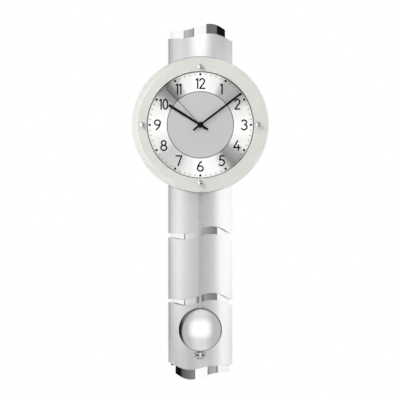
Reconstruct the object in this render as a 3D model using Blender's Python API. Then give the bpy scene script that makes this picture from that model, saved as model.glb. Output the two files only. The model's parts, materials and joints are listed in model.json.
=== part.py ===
"""Pendulum wall clock: a bevelled glass dial on bent aluminium panels, with its quartz movement and pendulum.

The front faces -Y, +Z is up and the wall is the plane y = 0. Every mesh below is drawn about the arbor of the
hands, in metres; place() then lowers it so that the origin is the flat face just under the hanger plate.
"""
import math

import bmesh
import bpy
from mathutils import Vector
from mathutils.geometry import tessellate_polygon

MM = 0.001
ARBOR_Z = -0.115                # height of the arbor below the origin

# Backboard and hanger
BOARD_HALF_X = 0.050
BOARD_TOP = 0.160
BOARD_BOTTOM = -0.448
BOARD_THICK = 0.012
WINDOW_HALF_X = 0.038           # service window for the battery and the setting knob
WINDOW_HALF_Z = 0.045
HANGER_Z = 0.138                # middle of the hanger plate
HANGER_HALF_X = 0.026
HANGER_HALF_Z = 0.017
HANGER_SCREW_X = 0.020
KEYHOLE_RADIUS = 0.0048
KEYHOLE_SLOT = 0.0024

# Bent sheets, all concentric about a vertical axis behind the wall
BEND_Y = 0.074
PANEL_OUTER = 0.1100
PANEL_INNER = 0.1085
SPACER_OUTER = 0.1082
SPACER_INNER = 0.1038
MIRROR_OUTER = 0.1035
MIRROR_INNER = 0.1025
FORMER_RADIUS = 0.1022
PANEL_HALF_X = 0.060
MIRROR_HALF_X = 0.055
FORMER_HALF_X = 0.046
MIDDLE_Z = -0.1411              # height about which the outline repeats upside down
WAVE_RATE = 3.785               # S-curve of every cross edge, per half width
FORMERS = (("top", 0.102), ("middle", -0.150), ("bottom", -0.410))
FORMER_HALF_Z = 0.007
SPACERS = (("top", 0.088, 0.020, 0.012), ("upper", -0.120, 0.030, 0.020),
           ("middle", -0.255, 0.030, 0.022), ("lower", -0.390, 0.030, 0.022))

# Dial and glass
PILLARS = ((-0.030, 0.054), (0.030, 0.054), (0.030, -0.054), (-0.030, -0.054))
PILLAR_RADIUS = 0.004
DIAL_PLATE = (0.112, -0.0720, -0.0735)
DIAL_FACE = (-0.0738, -0.0744)
RING_INNER = 0.0612
RING_OUTER = 0.0995
CENTRE_RADIUS = 0.0608
MASK_INNER = 0.098
MASK_OUTER = 0.1235
MASK_FACE = (-0.0832, -0.0837)
GLASS_RADIUS = 0.125
GLASS_BACK = -0.0840
GLASS_FRONT = -0.0890
BEVEL_WIDTH = 0.011
BEVEL_DROP = 0.0027
STUD_CIRCLE = 0.106
STUD_RADIUS = 0.0045
STUD_CLOCK = (("12", 0.0), ("3", 90.0), ("6", 180.0), ("9", 270.0))

# Movement
CASE_HALF_X = 0.028
CASE_BOTTOM = -0.032
CASE_TOP = 0.030
CASE_FRONT = -0.0717
CASE_REAR = -0.0563
CASE_WALL = 0.0012
FLOOR_Y = -0.0702               # inner face of the front wall
COVER_Y = (-0.0550, -0.0560)
COVER_TOP = 0.0135
TRAIN_TOP = 0.0129              # top of the pocket that holds the train
BAY_BOTTOM = 0.0141             # battery bay
PLATE_Y = (-0.0618, -0.0628)
POSTS = ((-0.0235, 0.0103), (-0.0235, -0.0135), (0.0080, -0.0140))
BUSHING_RADIUS = 0.0034
BUSHING_BORE = 0.0025
BUSHING_END = -0.0757
LAYER_Y = {                     # rear and front face of each layer of the train
    "magnet": (-0.0567, -0.0579), "a": (-0.0584, -0.0596), "b": (-0.0601, -0.0613),
    "c": (-0.0633, -0.0645), "d": (-0.0650, -0.0662), "e": (-0.0667, -0.0679), "f": (-0.0684, -0.0696),
}

# Gears: tooth counts, module and centres
THIRD_AT = (0.012, 0.0)
MOTION_AT = (-0.013, 0.0)
MIDDLE_AT = (-0.0040, -0.007455)     # intermediate wheel
ROTOR_AT = (0.0015, -0.012943)
ROTOR_MODULE = 0.37 * MM
SECOND_MODULE = 0.47 * MM
THIRD_MODULE = 12 * MM / 25.5
MINUTE_MODULE = 12 * MM / 27
MOTION_MODULE = 0.8125 * MM
HOUR_MODULE = 0.65 * MM
PINION_TOOTH = (0.70, 1.20, 0.25, 0.125)   # addendum, dedendum, half widths at root and tip
WHEEL_TOOTH = (0.70, 1.20, 0.275, 0.10)

# Pipes of the hands: outer radius, bore, front end
HOUR_PIPE = (0.0022, 0.0017, -0.0775)
MINUTE_PIPE = (0.0014, 0.00085, -0.0792)
SECOND_ARBOR = (0.0005, -0.0805)

# Hands: clock angle, length, tail, half widths at tip, root and tail, hub radius, bore, rear and front face
HOUR_HAND = (302.2, 0.0680, 0.0163, 0.0020, 0.0015, 0.0015, 0.0053, 0.0025, -0.0766, -0.0773)
MINUTE_HAND = (52.5, 0.0948, 0.0164, 0.0015, 0.0013, 0.0013, 0.0046, 0.0017, -0.0782, -0.0789)
SECOND_HAND = (317.0, 0.0904, 0.0120, 0.0004, 0.0004, 0.0010, 0.0030, 0.0008, -0.0798, -0.0804)
SECOND_CAP_Y = -0.0812

# Battery
BATTERY_Z = 0.02145
BATTERY_Y = -0.0629
BATTERY_RADIUS = 0.0071

# Pendulum
PIVOT_Z = -0.014
HANGER_PLATE_Y = (-0.0530, -0.0545)
PEG_Z = -0.038
ROD_Y = (-0.0494, -0.0506)
ROD_MID_Y = -0.0500
ROD_HALF_X = 0.0025
ROD_END_Z = -0.411
STEM_RADIUS = 0.0012
STEM_END_Z = -0.4336
BOB_Z = -0.3785
BOB_RADIUS = 0.040
BOB_WALL = 0.0011
BOB_RIM_Y = (-0.0488, -0.0518)
BOB_APEX_Y = -0.0580
BOB_BACK_Y = (-0.0485, -0.0473)
MAGNET_AT = (-0.0135, -0.022)
NUT_RADIUS = 0.0110
NUT_Z = (-0.4210, -0.4340)
NUT_BOSS = (0.0040, -0.4188)
NUT_BORE = 0.0016

# Finish of each kind of piece: colour, roughness, metallic
FINISHES = {
    "board": ((0.035, 0.035, 0.038), 0.55, 0.0), "zinc": ((0.62, 0.63, 0.65), 0.35, 1.0),
    "timber": ((0.48, 0.36, 0.22), 0.70, 0.0), "mirror": ((0.88, 0.89, 0.90), 0.05, 1.0),
    "foam": ((0.06, 0.06, 0.065), 0.85, 0.0), "aluminium": ((0.78, 0.79, 0.80), 0.30, 1.0),
    "carrier": ((0.45, 0.46, 0.47), 0.45, 0.3), "chapter": ((0.74, 0.75, 0.76), 0.28, 1.0),
    "matt": ((0.62, 0.63, 0.64), 0.60, 0.2), "satin": ((0.70, 0.73, 0.71), 0.55, 0.0),
    "glass": ((0.80, 0.88, 0.86), 0.05, 0.0), "chrome": ((0.85, 0.86, 0.88), 0.08, 1.0),
    "black": ((0.012, 0.012, 0.013), 0.40, 0.0), "case": ((0.025, 0.025, 0.027), 0.50, 0.0),
    "white": ((0.80, 0.79, 0.75), 0.45, 0.0), "board_green": ((0.02, 0.20, 0.08), 0.45, 0.0),
    "copper": ((0.72, 0.32, 0.14), 0.35, 1.0), "steel": ((0.55, 0.56, 0.58), 0.30, 1.0),
    "brass": ((0.80, 0.60, 0.26), 0.28, 1.0), "magnet": ((0.30, 0.30, 0.32), 0.30, 1.0),
    "cell": ((0.10, 0.16, 0.30), 0.35, 0.3), "gold": ((0.85, 0.65, 0.30), 0.30, 1.0),
}


# ---------------------------------------------------------------- outlines

def circle(radius, steps, centre=(0.0, 0.0)):
    """Points of a circle."""
    points = []
    for step in range(steps):
        angle = 2 * math.pi * step / steps
        points.append((centre[0] + radius * math.cos(angle), centre[1] + radius * math.sin(angle)))
    return points


def rectangle(left, right, low, high):
    """Corners of a rectangle."""
    return [(left, low), (right, low), (right, high), (left, high)]


def gear_outline(teeth, module, tooth, centre, phase):
    """Teeth with straight flanks; phase is the angle of one tooth's middle."""
    addendum, dedendum, root_half, tip_half = tooth
    root = module * (teeth / 2 - dedendum)
    tip = module * (teeth / 2 + addendum)
    pitch = 2 * math.pi / teeth
    points = []
    for index in range(teeth):
        middle = phase + index * pitch
        for radius, shift in ((root, -root_half), (tip, -tip_half), (tip, tip_half), (root, root_half)):
            angle = middle + shift * pitch
            points.append((centre[0] + radius * math.cos(angle), centre[1] + radius * math.sin(angle)))
    return points


def clock_turn(points, clock_angle):
    """Turn points clockwise by an angle in degrees, as seen from the front."""
    angle = math.radians(clock_angle)
    cosine, sine = math.cos(angle), math.sin(angle)
    return [(x * cosine + z * sine, z * cosine - x * sine) for x, z in points]


def hand_outline(hand):
    """A bar with a round hub and a short tail."""
    clock_angle, length, tail, tip_half, root_half, tail_half, hub = hand[:7]
    upper = math.acos(root_half / hub)
    lower = -math.acos(tail_half / hub)
    arc = [upper + (lower - upper) * step / 10 for step in range(11)]
    right = [(tip_half, length)]
    right += [(hub * math.cos(angle), hub * math.sin(angle)) for angle in arc]
    right.append((tail_half, -tail))
    left = [(-x, z) for x, z in reversed(right)]
    return clock_turn(right + left, clock_angle)


# ---------------------------------------------------------------- meshes

def finished(bm):
    """Close the bmesh into a mesh with its faces outward."""
    bmesh.ops.recalc_face_normals(bm, faces=bm.faces)
    mesh = bpy.data.meshes.new("piece")
    bm.to_mesh(mesh)
    bm.free()
    return mesh


def prism(outer, depth, holes=(), upright=False):
    """Extrude an outline with holes along Y, or along Z when upright."""
    bm = bmesh.new()
    loops = [outer, *holes]
    layers = []
    for level in depth:
        if upright:
            layers.append([[bm.verts.new((u, v, level)) for u, v in loop] for loop in loops])
        else:
            layers.append([[bm.verts.new((u, level, v)) for u, v in loop] for loop in loops])
    if holes:
        triangles = tessellate_polygon([[Vector((u, v, 0.0)) for u, v in loop] for loop in loops])
        for layer in layers:
            flat = [vert for loop in layer for vert in loop]
            for triangle in triangles:
                bm.faces.new([flat[index] for index in triangle])
    else:
        for layer in layers:
            bm.faces.new(layer[0])
    for near, far in zip(*layers):
        count = len(near)
        for index in range(count):
            following = (index + 1) % count
            bm.faces.new((near[index], near[following], far[following], far[index]))
    return finished(bm)


def turned(profile, steps, centre=(0.0, 0.0), upright=False):
    """Turn a profile of (radius, depth) about an axis along Y, or along Z when upright.

    A profile that starts and ends on the axis is left open there; any other is closed on itself."""
    bm = bmesh.new()
    on_axis = profile[0][0] == 0
    flat_start = on_axis and profile[0][1] == profile[1][1]
    flat_end = on_axis and profile[-1][1] == profile[-2][1]
    drawn = profile[flat_start:len(profile) - flat_end]
    rings = []
    for radius, depth in drawn:
        count = 1 if radius == 0 else steps
        ring = []
        for step in range(count):
            angle = 2 * math.pi * step / steps
            u = centre[0] + radius * math.cos(angle)
            v = centre[1] + radius * math.sin(angle)
            ring.append(bm.verts.new((u, v, depth) if upright else (u, depth, v)))
        rings.append(ring)
    if flat_start:
        bm.faces.new(rings[0])
    if flat_end:
        bm.faces.new(rings[-1])
    pairs = list(zip(rings, rings[1:]))
    if not on_axis:
        pairs.append((rings[-1], rings[0]))
    for first, second in pairs:
        for step in range(steps):
            after = (step + 1) % steps
            if len(first) == 1:
                bm.faces.new((first[0], second[step], second[after]))
            elif len(second) == 1:
                bm.faces.new((first[step], second[0], first[after]))
            else:
                bm.faces.new((first[step], second[step], second[after], first[after]))
    return finished(bm)


def rod(radius, depth, centre=(0.0, 0.0), steps=20, upright=False):
    """A plain round bar."""
    return turned([(0, depth[0]), (radius, depth[0]), (radius, depth[1]), (0, depth[1])], steps, centre, upright)


def block(left, right, low, high, depth):
    """A plain block, given by its span in X, its span in Z and its depth along Y."""
    return prism(rectangle(left, right, low, high), depth)


def spread(start, end, count):
    """Evenly spaced values with both ends."""
    return [start + (end - start) * index / count for index in range(count + 1)]


def sheet_columns(half_width):
    """X of the vertical lines of a bent sheet, with lines at the sides of the window."""
    if half_width <= WINDOW_HALF_X:
        return spread(-half_width, half_width, 10)
    return (spread(-half_width, -WINDOW_HALF_X, 4)[:-1] + spread(-WINDOW_HALF_X, WINDOW_HALF_X, 14)
            + spread(WINDOW_HALF_X, half_width, 4)[1:])


def bent_sheet(half_width, top, bottom, outer, inner, window=False):
    """A sheet bent about the vertical axis behind the wall, between two cross edges given as functions of x."""
    bm = bmesh.new()
    columns = []
    for x in sheet_columns(half_width):
        heights = [top(x), bottom(x)]
        if window and abs(x) <= WINDOW_HALF_X + 1e-9:
            heights[1:1] = [WINDOW_HALF_Z, -WINDOW_HALF_Z]
        sides = []
        for radius in (outer, inner):
            y = BEND_Y - math.sqrt(radius ** 2 - x ** 2)
            sides.append([bm.verts.new((x, y, z)) for z in heights])
        columns.append(sides)

    def bridge(left, right, level):
        """The narrow face that closes the sheet at one height between two columns."""
        bm.faces.new((left[0][level], right[0][level], right[1][level], left[1][level]))

    def jamb(column, high, low):
        """The narrow upright face that closes the sheet on one column."""
        bm.faces.new((column[0][high], column[0][low], column[1][low], column[1][high]))

    for left, right in zip(columns, columns[1:]):
        beside_window = len(left[0]) == 4 and len(right[0]) == 4
        for near, far in zip(left, right):
            if beside_window:
                bm.faces.new((near[0], near[1], far[1], far[0]))
                bm.faces.new((near[2], near[3], far[3], far[2]))
            else:
                bm.faces.new((*near, *reversed(far)))
        bridge(left, right, 0)
        bridge(left, right, -1)
        if beside_window:
            bridge(left, right, 1)
            bridge(left, right, 2)
    for column in (columns[0], columns[-1]):
        jamb(column, 0, -1)
    if window:
        framed = [column for column in columns if len(column[0]) == 4]
        jamb(framed[0], 1, 2)
        jamb(framed[-1], 1, 2)
    return finished(bm)


def carve(blank, joined=(), removed=()):
    """The blank with other meshes joined to it and others then cut away."""
    body = bpy.data.objects.new("blank", blank)
    bpy.context.collection.objects.link(body)
    helpers = [body]
    steps = [("UNION", mesh) for mesh in joined] + [("DIFFERENCE", mesh) for mesh in removed]
    for operation, mesh in steps:
        tool = bpy.data.objects.new("tool", mesh)
        bpy.context.collection.objects.link(tool)
        helpers.append(tool)
        modifier = body.modifiers.new(operation, "BOOLEAN")
        modifier.operation = operation
        modifier.solver = "EXACT"
        modifier.object = tool
    graph = bpy.context.evaluated_depsgraph_get()
    result = bpy.data.meshes.new_from_object(body.evaluated_get(graph))
    for helper in helpers:
        bpy.data.objects.remove(helper)
    return result


def place(name, mesh, finish, origin=(0.0, 0.0, 0.0)):
    """Make a named object from a mesh drawn about the arbor, with its own origin and material."""
    colour, roughness, metallic = FINISHES[finish]
    material = bpy.data.materials.new(name)
    material.use_nodes = True
    material.diffuse_color = (*colour, 1.0)
    surface = material.node_tree.nodes["Principled BSDF"]
    surface.inputs["Base Color"].default_value = (*colour, 1.0)
    surface.inputs["Roughness"].default_value = roughness
    surface.inputs["Metallic"].default_value = metallic
    mesh.materials.clear()
    mesh.materials.append(material)
    mesh.name = name
    shift = Vector(origin)
    for vertex in mesh.vertices:
        vertex.co -= shift
    piece = bpy.data.objects.new(name, mesh)
    piece.location = shift + Vector((0.0, 0.0, ARBOR_Z))
    bpy.context.collection.objects.link(piece)
    return piece


# ---------------------------------------------------------------- cross edges of the bent sheets

def wave(x, height, bow, swing, tilt=0.0):
    """A shallow arch with an S-curve on it, tilted up towards +X."""
    u = x / PANEL_HALF_X
    return height - bow * u * u + swing * math.sin(WAVE_RATE * u) + tilt * u


def mirror_top(x):
    return wave(x, 0.1875, 0.0140, 0.0054)


def mirror_bottom(x):
    return 2 * MIDDLE_Z - mirror_top(-x)


def upper_top(x):
    return wave(x, 0.1692, 0.0080, 0.0039)


def upper_bottom(x):
    return wave(x, -0.1921, 0.0090, 0.0056, 0.0025)


def middle_top(x):
    return wave(x, -0.2057, 0.0048, 0.0050)


def middle_bottom(x):
    return wave(x, -0.3158, 0.0088, 0.0054, 0.0021)


def lower_top(x):
    return wave(x, -0.3288, 0.0030, 0.0052)


def lower_bottom(x):
    return 2 * MIDDLE_Z - upper_top(-x)


# ---------------------------------------------------------------- pieces

def build_back():
    """Backboard, hanger plate with its screws, formers, mirror sheet, spacer pads and panels."""
    seat = block(-HANGER_HALF_X - 0.0005, HANGER_HALF_X + 0.0005, HANGER_Z - HANGER_HALF_Z - 0.0005,
                 HANGER_Z + HANGER_HALF_Z + 0.0005, (0.002, -0.0027))
    pocket = block(-0.0130, 0.0130, HANGER_Z - 0.0140, HANGER_Z + 0.0140, (0.001, -0.0085))
    screw_holes = [rod(0.0016, (0.001, -0.0100), (side * HANGER_SCREW_X, HANGER_Z), 12) for side in (-1, 1)]
    window = rectangle(-WINDOW_HALF_X, WINDOW_HALF_X, -WINDOW_HALF_Z, WINDOW_HALF_Z)
    board = prism(rectangle(-BOARD_HALF_X, BOARD_HALF_X, BOARD_BOTTOM, BOARD_TOP), (0.0, -BOARD_THICK), [window])
    place("backboard", carve(board, removed=[seat, pocket, *screw_holes]), "board")
    build_hanger()
    for name, height in FORMERS:
        edge = [(x, BEND_Y - math.sqrt(FORMER_RADIUS ** 2 - x ** 2))
                for x in spread(-FORMER_HALF_X, FORMER_HALF_X, 16)]
        outline = [*edge, (FORMER_HALF_X, -BOARD_THICK - 0.0003), (-FORMER_HALF_X, -BOARD_THICK - 0.0003)]
        levels = (height - FORMER_HALF_Z, height + FORMER_HALF_Z)
        place(f"former_{name}", prism(outline, levels, upright=True), "timber")

    def pillar_holes():
        return [rod(PILLAR_RADIUS + 0.001, (-0.010, -0.040), centre, 20) for centre in PILLARS]

    mirror = bent_sheet(MIRROR_HALF_X, mirror_top, mirror_bottom, MIRROR_OUTER, MIRROR_INNER, window=True)
    place("mirror_sheet", carve(mirror, removed=pillar_holes()), "mirror")
    for name, height, half_x, half_z in SPACERS:
        pad = bent_sheet(half_x, lambda x: height + half_z, lambda x: height - half_z, SPACER_OUTER, SPACER_INNER)
        place(f"spacer_{name}", pad, "foam")
    upper = bent_sheet(PANEL_HALF_X, upper_top, upper_bottom, PANEL_OUTER, PANEL_INNER, window=True)
    place("upper_panel", carve(upper, removed=pillar_holes()), "aluminium")
    middle = bent_sheet(PANEL_HALF_X, middle_top, middle_bottom, PANEL_OUTER, PANEL_INNER)
    place("middle_panel", middle, "aluminium")
    lower = bent_sheet(PANEL_HALF_X, lower_top, lower_bottom, PANEL_OUTER, PANEL_INNER)
    place("lower_panel", lower, "aluminium")


def build_hanger():
    """Keyhole plate and the two screws that hold it."""
    drop = HANGER_Z - 0.006
    lift = HANGER_Z + 0.006
    corner = math.asin(KEYHOLE_SLOT / KEYHOLE_RADIUS)
    round_part = spread(math.pi / 2 + corner, math.pi * 2.5 - corner, 20)
    keyhole = [(KEYHOLE_RADIUS * math.cos(angle), drop + KEYHOLE_RADIUS * math.sin(angle)) for angle in round_part]
    keyhole += [(KEYHOLE_SLOT * math.cos(angle), lift + KEYHOLE_SLOT * math.sin(angle))
                for angle in spread(0.0, math.pi, 8)]
    screw_holes = [circle(0.0016, 12, (side * HANGER_SCREW_X, HANGER_Z)) for side in (-1, 1)]
    outline = rectangle(-HANGER_HALF_X, HANGER_HALF_X, HANGER_Z - HANGER_HALF_Z, HANGER_Z + HANGER_HALF_Z)
    place("wall_hanger", prism(outline, (-0.0012, -0.0024), [keyhole, *screw_holes]), "zinc")
    for name, side in (("left", -1), ("right", 1)):
        profile = [(0, -0.0001), (0.0022, -0.0001), (0.0030, -0.0005), (0.0030, -0.0009),
                   (0.0013, -0.0009), (0.0013, -0.0090), (0, -0.0097)]
        screw = turned(profile, 16, (side * HANGER_SCREW_X, HANGER_Z))
        slot = block(side * HANGER_SCREW_X - 0.0025, side * HANGER_SCREW_X + 0.0025, HANGER_Z - 0.0003,
                     HANGER_Z + 0.0003, (0.001, -0.0005))
        place(f"hanger_screw_{name}", carve(screw, removed=[slot]), "zinc")


def build_dial():
    """Pillars, dial, satin ring, glass, standoffs and studs."""
    for index, centre in enumerate(PILLARS, start=1):
        pillar = rod(PILLAR_RADIUS, (-BOARD_THICK - 0.0003, DIAL_PLATE[1] + 0.0003), centre, 24)
        place(f"dial_pillar_{index}", pillar, "steel")
    stud_points = []
    for name, clock_angle in STUD_CLOCK:
        angle = math.radians(90 - clock_angle)
        stud_points.append((name, (STUD_CIRCLE * math.cos(angle), STUD_CIRCLE * math.sin(angle))))
    bushing_hole = circle(BUSHING_RADIUS + 0.0004, 24)
    shank_holes = [circle(0.0022, 12, centre) for name, centre in stud_points]
    plate_radius, plate_rear, plate_front = DIAL_PLATE
    place("dial_plate", prism(circle(plate_radius, 72), (plate_rear, plate_front), [bushing_hole, *shank_holes]),
          "carrier")
    place("dial_ring", prism(circle(RING_OUTER, 72), DIAL_FACE, [circle(RING_INNER, 72)]), "chapter")
    place("dial_centre", prism(circle(CENTRE_RADIUS, 72), DIAL_FACE, [bushing_hole]), "matt")
    place("mask_ring", prism(circle(MASK_OUTER, 72), MASK_FACE, [circle(MASK_INNER, 72), *shank_holes]), "satin")
    profile = [(0, GLASS_BACK), (GLASS_RADIUS - 0.0006, GLASS_BACK), (GLASS_RADIUS, GLASS_BACK - 0.0006),
               (GLASS_RADIUS, GLASS_FRONT + BEVEL_DROP), (GLASS_RADIUS - BEVEL_WIDTH, GLASS_FRONT),
               (0, GLASS_FRONT)]
    drills = [rod(0.0022, (-0.080, -0.095), centre, 16) for name, centre in stud_points]
    place("glass_disc", carve(turned(profile, 96), removed=drills), "glass")
    for name, centre in stud_points:
        sleeve = prism(circle(0.0045, 20, centre), (DIAL_PLATE[2] - 0.0003, MASK_FACE[0] + 0.0003),
                       [circle(0.0020, 16, centre)])
        place(f"standoff_{name}", sleeve, "steel")
        dome = []
        for angle in spread(0.0, math.pi / 2, 5):
            dome.append((STUD_RADIUS * math.sin(angle), GLASS_FRONT - 0.0009 - 0.0036 * math.cos(angle)))
        dome[0] = (0, dome[0][1])
        profile = [*dome, (STUD_RADIUS, GLASS_FRONT - 0.0003), (0.0017, GLASS_FRONT - 0.0003),
                   (0.0017, DIAL_PLATE[1] - 0.0002), (0, DIAL_PLATE[1] - 0.0002)]
        place(f"stud_{name}", turned(profile, 20, centre), "chrome")


def build_case():
    """Case, cover and middle plate of the movement, and the nut on its bushing."""
    shell = block(-CASE_HALF_X, CASE_HALF_X, CASE_BOTTOM, CASE_TOP, (CASE_FRONT, CASE_REAR))
    inner_x = CASE_HALF_X - CASE_WALL
    train_bay = block(-inner_x, inner_x, CASE_BOTTOM + CASE_WALL, TRAIN_TOP, (FLOOR_Y, CASE_REAR + 0.002))
    battery_bay = block(-inner_x, inner_x, BAY_BOTTOM, CASE_TOP - CASE_WALL, (FLOOR_Y, CASE_REAR + 0.002))
    hollowed = carve(shell, removed=[train_bay, battery_bay])
    posts = [rod(0.0012, (FLOOR_Y - 0.0005, PLATE_Y[1] - 0.0003), centre, 12) for centre in POSTS]
    bushing = rod(BUSHING_RADIUS, (FLOOR_Y - 0.0005, BUSHING_END), steps=24)
    bore = rod(BUSHING_BORE, (FLOOR_Y + 0.001, BUSHING_END - 0.001), steps=24)
    sockets = [rod(radius, (FLOOR_Y + 0.001, FLOOR_Y - 0.0009), centre, 12)
               for centre, radius in ((THIRD_AT, 0.0008), (MOTION_AT, 0.0013))]
    place("movement_case", carve(hollowed, [*posts, bushing], [bore, *sockets]), "case")
    pivots = ((0.0, 0.0, 0.0008), (*MIDDLE_AT, 0.0008), (*ROTOR_AT, 0.0008), (*MOTION_AT, 0.0013))
    pivot_holes = [circle(radius, 12, (x, z)) for x, z, radius in pivots]
    cover = prism(rectangle(-CASE_HALF_X, CASE_HALF_X, CASE_BOTTOM, COVER_TOP), COVER_Y, pivot_holes)
    pin = rod(0.0012, (COVER_Y[1] + 0.0004, HANGER_PLATE_Y[0] + 0.0008), (0.0, PIVOT_Z), 16)
    place("movement_cover", carve(cover, joined=[pin]), "case")
    plate_holes = [circle(0.0024, 20), circle(0.0008, 12, MIDDLE_AT), circle(0.0008, 12, ROTOR_AT),
                   circle(0.0008, 12, THIRD_AT), circle(0.0014, 12, MOTION_AT)]
    plate = prism(rectangle(-0.0250, 0.0153, -0.0155, 0.0125), PLATE_Y, plate_holes)
    place("movement_plate", plate, "white")
    nut = prism(circle(0.0052, 12), (DIAL_FACE[1] - 0.0003, -0.0760), [circle(BUSHING_RADIUS + 0.0003, 24)])
    place("hand_nut", nut, "brass")


def build_motor():
    """Circuit board, drive coil, stator and rotor of the stepper motor, and the pendulum coil."""
    place("circuit_board", block(0.0060, 0.0250, 0.0005, 0.0120, LAYER_Y["magnet"]), "board_green")
    core = [(-0.0025, -0.0250), (0.0220, -0.0250), (0.0220, -0.0210), (0.0055, -0.0210), (0.0055, -0.0060),
            (0.0220, -0.0060), (0.0220, -0.0020), (-0.0025, -0.0020)]
    place("stator", prism(core, LAYER_Y["magnet"], [circle(0.0034, 24, ROTOR_AT)]), "steel")
    flange = 0.0030
    waist = 0.0026
    coil = [(0, -0.0207), (flange, -0.0207), (flange, -0.0199), (waist, -0.0199), (waist, -0.0071),
            (flange, -0.0071), (flange, -0.0063), (0, -0.0063)]
    place("drive_coil", turned(coil, 20, (0.0200, -0.0596), upright=True), "copper")
    magnet = rod(0.0030, LAYER_Y["magnet"], ROTOR_AT, 24)
    pinion = prism(gear_outline(6, ROTOR_MODULE, PINION_TOOTH, ROTOR_AT, mesh_angle(ROTOR_AT, MIDDLE_AT)),
                   (LAYER_Y["magnet"][1] + 0.0004, LAYER_Y["a"][1] - 0.0001))
    arbor = rod(0.0005, (-0.0554, -0.0624), ROTOR_AT, 12)
    place("rotor", carve(magnet, [pinion, arbor]), "magnet", (ROTOR_AT[0], -0.0573, ROTOR_AT[1]))
    winding = prism(circle(0.0055, 28, MAGNET_AT), (-0.0566, -0.0606), [circle(0.0020, 16, MAGNET_AT)])
    place("pendulum_coil", winding, "copper")


def mesh_angle(centre, partner, teeth=0):
    """Angle from one wheel toward its partner; a wheel with teeth given puts a gap there, not a tooth."""
    angle = math.atan2(partner[1] - centre[1], partner[0] - centre[0])
    return angle + (math.pi / teeth if teeth else 0.0)


def stacked_wheel(name, finish, centre, wheel, pinion, arbor, pipe_bore=None):
    """A wheel, its pinion and its arbor as one turned piece.

    wheel and pinion are (teeth, module, layer, phase); arbor is (radius, rear end, front end)."""
    teeth, module, layer, phase = wheel
    rear, front = LAYER_Y[layer]
    body = prism(gear_outline(teeth, module, WHEEL_TOOTH, centre, phase), (rear, front))
    joined = []
    if pinion:
        teeth, module, layer, phase = pinion
        joined.append(prism(gear_outline(teeth, module, PINION_TOOTH, centre, phase),
                            (front + 0.0004, LAYER_Y[layer][1] - 0.0001)))
    radius, start, end = arbor
    joined.append(rod(radius, (start, end), centre, 20))
    bores = [rod(pipe_bore, (start + 0.003, end - 0.001), centre, 20)] if pipe_bore else []
    place(name, carve(body, joined, bores), finish, (centre[0], (rear + front) / 2, centre[1]))


def build_train():
    """The wheels from the intermediate wheel to the hour wheel, and the setting knob."""
    hub = (0.0, 0.0)
    stacked_wheel("intermediate_wheel", "white", MIDDLE_AT,
                  (36, ROTOR_MODULE, "a", mesh_angle(MIDDLE_AT, ROTOR_AT, 36)),
                  (6, SECOND_MODULE, "b", mesh_angle(MIDDLE_AT, hub)), (0.0005, -0.0554, -0.0624))
    stacked_wheel("second_wheel", "brass", hub,
                  (30, SECOND_MODULE, "b", mesh_angle(hub, MIDDLE_AT, 30)),
                  (6, THIRD_MODULE, "c", mesh_angle(hub, THIRD_AT)), (SECOND_ARBOR[0], -0.0554, SECOND_ARBOR[1]))
    stacked_wheel("third_wheel", "white", THIRD_AT,
                  (45, THIRD_MODULE, "c", mesh_angle(THIRD_AT, hub, 45)),
                  (6, MINUTE_MODULE, "d", mesh_angle(THIRD_AT, hub)), (0.0005, -0.0621, -0.0708))
    minute_outer, minute_bore, minute_end = MINUTE_PIPE
    stacked_wheel("minute_wheel", "white", hub,
                  (48, MINUTE_MODULE, "d", mesh_angle(hub, THIRD_AT, 48)),
                  (8, MOTION_MODULE, "e", mesh_angle(hub, MOTION_AT)),
                  (minute_outer, -0.0652, minute_end), minute_bore)
    stacked_wheel("motion_wheel", "white", MOTION_AT,
                  (24, MOTION_MODULE, "e", mesh_angle(MOTION_AT, hub, 24)),
                  (8, HOUR_MODULE, "f", mesh_angle(MOTION_AT, hub)), (0.0010, -0.0523, -0.0708))
    hour_outer, hour_bore, hour_end = HOUR_PIPE
    stacked_wheel("hour_wheel", "white", hub, (32, HOUR_MODULE, "f", mesh_angle(hub, MOTION_AT, 32)), None,
                  (hour_outer, -0.0686, hour_end), hour_bore)
    grip = prism(gear_outline(24, 0.0004, (0.5, 0.3, 0.30, 0.18), MOTION_AT, 0.0), (-0.0547, -0.0505))
    socket = rod(0.0013, (-0.0560, -0.0520), MOTION_AT, 16)
    place("setting_knob", carve(grip, removed=[socket]), "white", (MOTION_AT[0], -0.0526, MOTION_AT[1]))


def build_hands():
    """Hour, minute and second hand."""
    for name, hand in (("hour_hand", HOUR_HAND), ("minute_hand", MINUTE_HAND)):
        bore, rear, front = hand[7:]
        place(name, prism(hand_outline(hand), (rear, front), [circle(bore, 20)]), "black",
              (0.0, (rear + front) / 2, 0.0))
    hub, bore, rear, front = SECOND_HAND[6:]
    blade = prism(hand_outline(SECOND_HAND), (rear, front))
    cap = turned([(0, front + 0.0003), (hub - 0.0005, front + 0.0003), (hub - 0.0005, SECOND_CAP_Y + 0.0004),
                  (hub - 0.0009, SECOND_CAP_Y), (0, SECOND_CAP_Y)], 20)
    socket = rod(bore, (rear + 0.001, -0.0808), steps=16)
    place("second_hand", carve(blade, [cap], [socket]), "black", (0.0, (rear + front) / 2, 0.0))


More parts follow.
